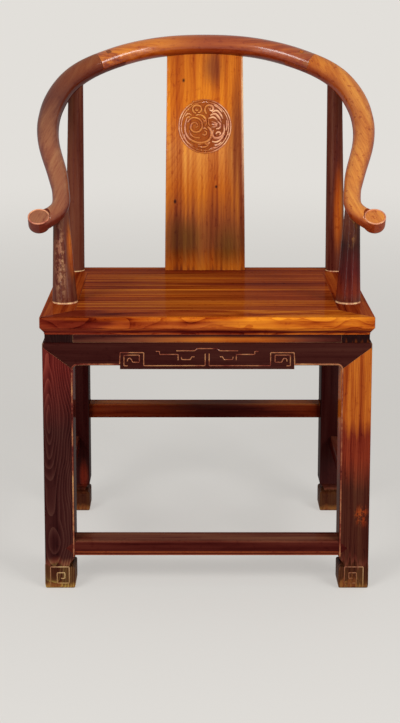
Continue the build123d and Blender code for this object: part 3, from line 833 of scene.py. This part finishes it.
def dress_legs(woods, carving):
    """Dress the four legs, the rear ones with their posts."""
    foot = [(0.0, woods.straw), (0.005, woods.straw), (0.014, woods.hazel), (0.044, woods.hazel),
            (0.048, woods.chestnut)]
    post = foot + [(0.06, woods.umber), (0.5, woods.umber), (0.512, woods.chestnut),
                   (0.93, woods.chestnut)]
    worn = {"colour": woods.straw, "mottled": True}
    # ring paints a thin highlight line where each rear post stands on the seat.
    ring = band(510.8, 1.2, woods.cream)
    members = {
        # The front legs' runs are darker towards the floor, partly the wood's own tone and partly
        # painted shade.
        "front_left_leg": (
            foot + [(0.06, woods.umber), (0.3, woods.umber), (0.42, woods.crimson),
                    (0.456, woods.crimson), (0.463, woods.umber), (0.49, woods.umber)],
            {"rings": -1.5, "ring_width": 4.2, "pith": (305, -285), "tilt": (0.1, 0),
             "wobble": 2.2, "drift": 0.9},
            (stain((-292, -272, 8), (10, 30, 8), **worn),),
        ),
        "front_right_leg": (
            foot + [(0.06, woods.walnut), (0.19, woods.walnut), (0.25, woods.red),
                    (0.29, woods.red), (0.32, woods.bronze), (0.456, woods.bronze),
                    (0.463, woods.umber), (0.49, woods.umber)],
            {"fray": 0.02, "figure": (3, 70), "drift": 0.8, "streak": 1.3, "rings": 0.3},
            (stain((280, -272, 140), (12, 24, 18), woods.russet, mottled=True),
             stain((262, -272, 12), (20, 30, 16), **worn)),
        ),
        "rear_left_leg": (post, {}, (stain((-252, 141, 78), (8, 20, 26), woods.red), ring)),
        "rear_right_leg": (post, {}, (stain((273, 145, 640), (9, 30, 70), woods.orange), ring)),
    }
    for number, (node, (run, look, stains)) in enumerate(members.items()):
        look = {"wander": 0.004, "fray": 0.004, "figure": (3, 50)} | look
        material = wood(f"{node}_wood", UP, run, 13.7 + 5.3 * number, stains=stains, gloss=0.1,
                        **look)
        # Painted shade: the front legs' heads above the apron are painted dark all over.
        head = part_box("apron_front")[1].z - 1 * MM if "front" in node else None
        worked(node, material, carving.ease, shaded_above=head)


# The square scroll on a foot's face, in millimetres from the leg's outer edge and up
FOOT_SCROLL = [(9.9, 4), (9.9, 42), (44, 42), (44, 11), (22, 11), (22, 30.8), (36, 30.8),
               (36, 20), (29, 20)]


def carve_feet(woods, carving):
    """Raise the square scrolls on the outer faces of the feet."""
    meshes = []
    for node in ("front_left_leg", "front_right_leg", "rear_left_leg", "rear_right_leg"):
        low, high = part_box(node)
        side = LEFT if low.x < 0 else RIGHT
        end = FRONT if "front" in node else BACK
        outer = Vector((low.x if side is LEFT else high.x, low.y if end is FRONT else high.y, 0))
        for outward, inward in ((end, -side), (side, -end)):
            direction = 1 if UP.cross(outward).dot(inward) > 0 else -1
            scroll = [(direction * across, up) for across, up in FOOT_SCROLL]
            lines = [softened(line, 1.5 * MM) for line in in_metres([scroll])]
            meshes.append(
                drawn_lines(lines, carving.fret_width, carving.fret_rise, outward, outer)
            )
    run = [(0.0, woods.straw), (0.045, woods.pale)]
    material = wood("foot_scroll_wood", UP, run, 1.9, drift=1.0)
    finish_piece("foot_scrolls", joined(meshes), material, "leg_wood")


# -------- seat

def dress_seat(woods, carving):
    """Dress the seat's frame, its panel and the battens below."""
    margin = 4 * MM
    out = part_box("seat_front_rail")[1].x - margin
    front = front_edge() + margin

    def rub_and_highlight(place):
        """Paint the seat's outer edge paler than its flush joints, partly worn and partly painted
        highlight.
        """
        return 1.0 if abs(place.x) > out or place.y < front else 0.35

    even = plain(woods.russet)
    edge = [(-0.3, woods.red), (-0.19, woods.red), (-0.15, woods.russet), (0.02, woods.russet),
            (0.1, woods.orange), (0.3, woods.orange)]
    flame = {"figure": (7, 60), "rings": 0.5, "ring_width": 5.0, "wobble": 2.2,
             "pith": (470, 260), "drift": 0.9, "wander": 0.03}
    panel = [(-0.25, woods.russet), (-0.05, woods.bronze), (0.1, woods.russet),
             (0.25, woods.russet)]
    calm = {"figure": (1.6, 60), "drift": 0.9, "streak": 1.0, "wander": 0.1, "fray": 0.05}
    streaks = (
        stain((110, -160, 510), (190, 26, 20), woods.orange),
        stain((-120, -90, 510), (130, 12, 20), woods.orange),
        stain((0, -30, 510), (230, 9, 20), woods.orange),
        stain((60, 20, 510), (160, 10, 20), woods.red),
        stain((-60, 80, 510), (160, 12, 20), woods.orange),
    )
    # Painted shade: a dark band along the recess low on the seat's rails. Painted highlight: an
    # amber band along the front rail's top edge.
    hollow_shade = band(482.5, 3.2, woods.crimson)
    arris_highlight = stain((50, -276, 508), (260, 16, 5), woods.amber)
    members = {
        "seat_front_rail": (RIGHT, edge, 21.0, flame, (arris_highlight, hollow_shade)),
        "seat_rear_rail": (RIGHT, even, 25.4, calm, (hollow_shade,)),
        "seat_left_rail": (BACK, even, 29.8, calm, (hollow_shade,)),
        "seat_right_rail": (BACK, even, 31.2, calm, (hollow_shade,)),
        "seat_panel": (RIGHT, panel, 37.5, calm, streaks),
    }
    for node, (grain, run, seed, look, stains) in members.items():
        material = wood(f"{node}_wood", grain, run, seed, stains=stains, gloss=0.035,
                        gloss_rough=0.1, **look)
        ease = carving.joint_ease if node == "seat_panel" else 2 * carving.joint_ease
        worked(node, material, ease, rub_and_highlight)
    for node, seed in (("seat_left_batten", 41.1), ("seat_right_batten", 43.9)):
        material = wood(f"{node}_wood", BACK, plain(woods.brown), seed, gloss=0.05)
        worked(node, material, carving.ease)


# -------- waist and aprons

def dress_waist_and_aprons(woods, carving):
    """Dress the waist strips and the four aprons."""
    run = [(-0.25, woods.umber), (-0.13, woods.chestnut), (-0.04, woods.brown),
           (0.02, woods.bronze), (0.1, woods.bronze), (0.18, woods.chestnut), (0.25, woods.umber)]
    # Painted shade: a dark band along the top of each waist strip, where it lies recessed under
    # the seat.
    shade = band(475, 4.4, woods.umber)
    for number, (name, grain) in enumerate(SIDES.items()):
        waist = wood(f"waist_{name}_wood", grain, run, 51.3 + 3 * number, fray=0.03,
                     stains=(shade,), gloss=0.08)
        worked(f"waist_{name}", waist, carving.joint_ease)
        apron = wood(f"apron_{name}_wood", grain, plain(woods.maroon), 61.9 + 3 * number,
                     gloss=0.06)
        worked(f"apron_{name}", apron, 1.25 * carving.ease)


# The front fret's left half, in millimetres from the middle and above the floor
FRET_LINES = [
    [(-157, 423.6), (-155.8, 444.7), (-113.7, 444.7), (-113.7, 420.7), (-3.6, 420.7), (-3.6, 443)],
    [(-142.5, 420.4), (-149.1, 420.4), (-149.1, 440.1), (-121.6, 440.1), (-121.6, 427),
     (-133.5, 427), (-136, 432.4), (-139.2, 435), (-142.6, 432.7), (-143, 428.7)],
    [(-91.8, 447), (-85.2, 447), (-85.2, 441.4), (-52.1, 441.4), (-52.1, 431)],
    [(-55.3, 448.1), (-22.5, 448.1), (-17.6, 452.1), (0, 452.1)],
    [(-46.5, 437), (-45.5, 432), (-30.2, 431.8), (-27.8, 437), (-22.8, 437)],
]


def carve_fret(woods, carving):
    """Raise the fret on the front apron's middle."""
    lines = [softened(line, 1.4 * MM) for line in mirrored(in_metres(FRET_LINES))]
    face = Vector((0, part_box("apron_front")[0].y, 0))
    mesh = drawn_lines(lines, carving.fret_width, carving.fret_rise, FRONT, face)
    # The fret is painted paler than the apron, partly as worn edges and partly as painted
    # highlight on its raised lines.
    material = wood("fret_wood", RIGHT, plain(woods.tan), 71.2, figure=(40, 90), drift=1.2)
    finish_piece("front_apron_fret", mesh, material, "apron_wood")


def bead_line(half, edge, stop, carving):
    """Return one side's bead: up the leg's inner edge, round the corner, along the apron.

    half is from the face's middle to the leg's inner edge, edge the apron's lower edge.
    """
    turn = carving.bead_turn
    inset = carving.bead_inset
    centre = (half - turn, edge - turn)
    reach = turn + inset
    arc = [
        (centre[0] + reach * cos(angle), centre[1] + reach * sin(angle))
        for angle in (radians(step * 15) for step in range(7))
    ]
    return [(half + inset, carving.bead_foot)] + arc + [(stop, edge + inset)]


def raise_beads(woods, carving):
    """Raise the bead that follows aprons and legs on the chair's four sides."""
    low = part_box("front_left_leg")[0]
    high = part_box("rear_right_leg")[1]
    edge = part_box("apron_rear")[0].z + carving.bead_turn
    middle_y = (low.y + high.y) / 2
    wide = high.x - carving.leg_width
    deep = (high.y - low.y) / 2 - carving.leg_width
    faces = {
        "front": (FRONT, Vector((0, low.y, 0)), wide, carving.bead_stop),
        "back": (BACK, Vector((0, high.y, 0)), wide, 0),
        "left": (LEFT, Vector((low.x, middle_y, 0)), deep, 0),
        "right": (RIGHT, Vector((high.x, middle_y, 0)), deep, 0),
    }
    for name, (outward, origin, half, stop) in faces.items():
        lines = mirrored([bead_line(half, edge, stop, carving)])
        mesh = drawn_lines(lines, carving.bead_width, carving.bead_rise, outward, origin)
        # The bead is painted paler than the apron, partly as worn edges and partly as painted
        # highlight on its raised line.
        material = wood(f"{name}_bead_wood", RIGHT, plain(woods.tan), 81.7, figure=(20, 20),
                        drift=1.6)
        finish_piece(f"{name}_bead", mesh, material, "apron_wood")


# -------- stretchers

def dress_stretchers(woods, carving):
    """Dress the four stretchers and raise the bead along the front one's lower edge."""
    streaked = [(-0.27, woods.brown), (-0.08, woods.brown), (0.0, woods.chestnut),
                (0.1, woods.chestnut), (0.2, woods.brown), (0.27, woods.brown)]
    for number, (name, grain) in enumerate(SIDES.items()):
        run = streaked if name == "rear" else plain(woods.chestnut)
        # Painted light and shade: top faces are painted lighter, and sides and undersides darker.
        material = wood(f"stretcher_{name}_wood", grain, run, 91.3 + 4 * number,
                        wander=0.04, figure=(4, 50), painted_lit_side=UP, gloss=0.06)
        worked(f"stretcher_{name}", material, carving.ease)
    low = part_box("stretcher_front")[0]
    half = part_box("front_right_leg")[0].x
    heights = (low.z + 1.4 * MM, low.z + 6.0 * MM)
    lines = [[(-half, height), (half, height)] for height in heights]
    face = Vector((0, low.y, 0))
    mesh = drawn_lines(lines, carving.bead_width, carving.bead_rise, FRONT, face)
    material = wood("stretcher_bead_wood", RIGHT, plain(woods.brown), 107.3)
    finish_piece("front_stretcher_beads", mesh, material, "stretcher_wood")


# -------- stage

def soft_lamp(name, place, aim, size, power):
    """Hang a soft rectangular lamp that faces a point."""
    lamp = bpy.data.lights.new(name, "AREA")
    lamp.shape = "RECTANGLE"
    lamp.size, lamp.size_y = size
    lamp.energy = power
    holder = linked(name, lamp)
    holder.location = place
    holder.rotation_euler = (Vector(aim) - Vector(place)).to_track_quat("-Z", "Y").to_euler()


def seen_share(tree):
    """Return 1 for rays from the camera and for those that gloss or glass sends on."""
    rays = tree.nodes.new("ShaderNodeLightPath")
    camera, glossy, through = (
        Link(tree, rays.outputs[f"Is {kind} Ray"]) for kind in ("Camera", "Glossy", "Transmission")
    )
    return camera.maths("MAXIMUM", camera.maths("MAXIMUM", camera, glossy), through)


def lay_floor(studio):
    """Lay a round pale floor that fades into the surroundings."""
    form = bmesh.new()
    bmesh.ops.create_circle(form, cap_ends=True, segments=96, radius=studio.floor_radius)
    floor = linked("floor", as_mesh(form))
    material = bpy.data.materials.new("pale floor")
    tree = Tree(material)
    place = tree.add("ShaderNodeTexCoord", output="Object")
    reach = tree.vector_maths("LENGTH", "Value", place)
    matt = tree.add("ShaderNodeBsdfDiffuse", {}, {"Color": (*studio.floor_tone, 1)})
    even = tree.add("ShaderNodeEmission", {}, {"Color": (*studio.backdrop_tone, 1)})
    mixed = tree.add(
        "ShaderNodeMixShader", {}, {0: seen_share(tree) * studio.floor_evenness, 1: matt, 2: even}
    )
    clear = tree.add("ShaderNodeBsdfTransparent")
    rim = tree.step(reach, 1.2, 5.5)
    tree.output(tree.add("ShaderNodeMixShader", {}, {0: rim, 1: mixed, 2: clear}))
    floor.data.materials.append(material)


def light_world(studio):
    """Give the surroundings an even light and a pale look."""
    world = bpy.data.worlds.new("studio")
    bpy.context.scene.world = world
    tree = Tree(world)
    even = tree.add("ShaderNodeBackground", {}, {"Color": (1, 1, 1, 1), "Strength": studio.fill})
    seen = tree.add("ShaderNodeBackground", {}, {"Color": (*studio.backdrop_tone, 1)})
    chosen = tree.add("ShaderNodeMixShader", {}, {0: seen_share(tree), 1: even, 2: seen})
    tree.output(chosen, "ShaderNodeOutputWorld")


def place_camera(studio):
    """Stand the camera in front of the chair."""
    camera = bpy.data.cameras.new("camera")
    camera.sensor_width = 36
    camera.lens = studio.camera_lens
    camera.shift_x = studio.shift_across
    camera.shift_y = studio.shift_up
    holder = linked("camera", camera)
    holder.location = studio.camera_place
    holder.rotation_euler = (pi / 2 - studio.camera_pitch, 0, 0)
    bpy.context.scene.camera = holder


def set_stage(studio):
    """Set the floor, the light and the camera."""
    lay_floor(studio)
    light_world(studio)
    seat, rail = (0, 0, 0.55), (0, 0, 1.1)
    broad, tall = (1.5, 0.8), (0.3, 1.8)
    soft_lamp("key lamp", (-1.9, -2.7, 2.2), seat, broad, studio.key_power)
    soft_lamp("side lamp", (2.1, -2.5, 2.1), seat, broad, studio.side_power)
    soft_lamp("left strip", (-1.6, -2.6, 1.1), rail, tall, studio.strip_power)
    soft_lamp("right strip", (1.6, -2.6, 1.1), rail, tall, studio.strip_power)
    place_camera(studio)
    bpy.context.scene.view_settings.view_transform = "Standard"


# -------- add-on

def run_step(context, step):
    """Run a step on the scene's woods and sizes, and report that it finished."""
    step(context.scene.chair_woods, context.scene.chair_carving)
    return {"FINISHED"}


class CHAIR_OT_rail(bpy.types.Operator):
    """Dress the crest rail and raise the rims of its hands"""
    bl_idname = "chair.rail"
    bl_label = "Dress the rail"

    def execute(self, context):
        return run_step(context, dress_rail)


class CHAIR_OT_splat(bpy.types.Operator):
    """Dress the back splat"""
    bl_idname = "chair.splat"
    bl_label = "Dress the splat"

    def execute(self, context):
        return run_step(context, dress_splat)


class CHAIR_OT_medallion(bpy.types.Operator):
    """Carve the round medallion on the splat"""
    bl_idname = "chair.medallion"
    bl_label = "Carve the medallion"

    def execute(self, context):
        return run_step(context, carve_medallion)


class CHAIR_OT_posts(bpy.types.Operator):
    """Dress the front posts"""
    bl_idname = "chair.posts"
    bl_label = "Dress the front posts"

    def execute(self, context):
        return run_step(context, dress_posts)


class CHAIR_OT_legs(bpy.types.Operator):
    """Dress the legs, the rear ones with their posts"""
    bl_idname = "chair.legs"
    bl_label = "Dress the legs"

    def execute(self, context):
        return run_step(context, dress_legs)


class CHAIR_OT_feet(bpy.types.Operator):
    """Raise the square scrolls on the feet"""
    bl_idname = "chair.feet"
    bl_label = "Carve the feet"

    def execute(self, context):
        return run_step(context, carve_feet)


class CHAIR_OT_seat(bpy.types.Operator):
    """Dress the seat's frame, panel and battens"""
    bl_idname = "chair.seat"
    bl_label = "Dress the seat"

    def execute(self, context):
        return run_step(context, dress_seat)


class CHAIR_OT_aprons(bpy.types.Operator):
    """Dress the waist strips and the aprons"""
    bl_idname = "chair.aprons"
    bl_label = "Dress waist and aprons"

    def execute(self, context):
        return run_step(context, dress_waist_and_aprons)


class CHAIR_OT_fret(bpy.types.Operator):
    """Raise the fret on the front apron"""
    bl_idname = "chair.fret"
    bl_label = "Carve the fret"

    def execute(self, context):
        return run_step(context, carve_fret)


class CHAIR_OT_beads(bpy.types.Operator):
    """Raise the bead along aprons and legs"""
    bl_idname = "chair.beads"
    bl_label = "Raise the beads"

    def execute(self, context):
        return run_step(context, raise_beads)


class CHAIR_OT_stretchers(bpy.types.Operator):
    """Dress the stretchers"""
    bl_idname = "chair.stretchers"
    bl_label = "Dress the stretchers"

    def execute(self, context):
        return run_step(context, dress_stretchers)


class CHAIR_OT_stage(bpy.types.Operator):
    """Set the floor, the light and the camera"""
    bl_idname = "chair.stage"
    bl_label = "Set the stage"

    def execute(self, context):
        set_stage(context.scene.chair_studio)
        return {"FINISHED"}


OPERATORS = (
    CHAIR_OT_rail, CHAIR_OT_splat, CHAIR_OT_medallion, CHAIR_OT_posts, CHAIR_OT_legs,
    CHAIR_OT_feet, CHAIR_OT_seat, CHAIR_OT_aprons, CHAIR_OT_fret, CHAIR_OT_beads,
    CHAIR_OT_stretchers, CHAIR_OT_stage,
)


class CHAIR_PT_panel(bpy.types.Panel):
    """Lists the steps that dress the chair"""
    bl_idname = "CHAIR_PT_panel"
    bl_label = "Armchair"
    bl_space_type = "VIEW_3D"
    bl_region_type = "UI"
    bl_category = "Armchair"

    def draw(self, context):
        for operator in OPERATORS:
            self.layout.operator(operator.bl_idname)


CLASSES = (ChairWoods, ChairCarving, ChairStudio, *OPERATORS, CHAIR_PT_panel)


def register():
    """Register the classes and hang the settings on the scene."""
    for cls in CLASSES:
        bpy.utils.register_class(cls)
    bpy.types.Scene.chair_woods = PointerProperty(type=ChairWoods)
    bpy.types.Scene.chair_carving = PointerProperty(type=ChairCarving)
    bpy.types.Scene.chair_studio = PointerProperty(type=ChairStudio)


def unregister():
    """Take the settings off the scene and unregister the classes."""
    del bpy.types.Scene.chair_studio
    del bpy.types.Scene.chair_carving
    del bpy.types.Scene.chair_woods
    for cls in reversed(CLASSES):
        bpy.utils.unregister_class(cls)


def main():
    """Dress the chair and set its stage."""
    register()
    for operator in OPERATORS:
        getattr(bpy.ops.chair, operator.bl_idname.split(".")[1])()


if __name__ == "__main__":
    main()
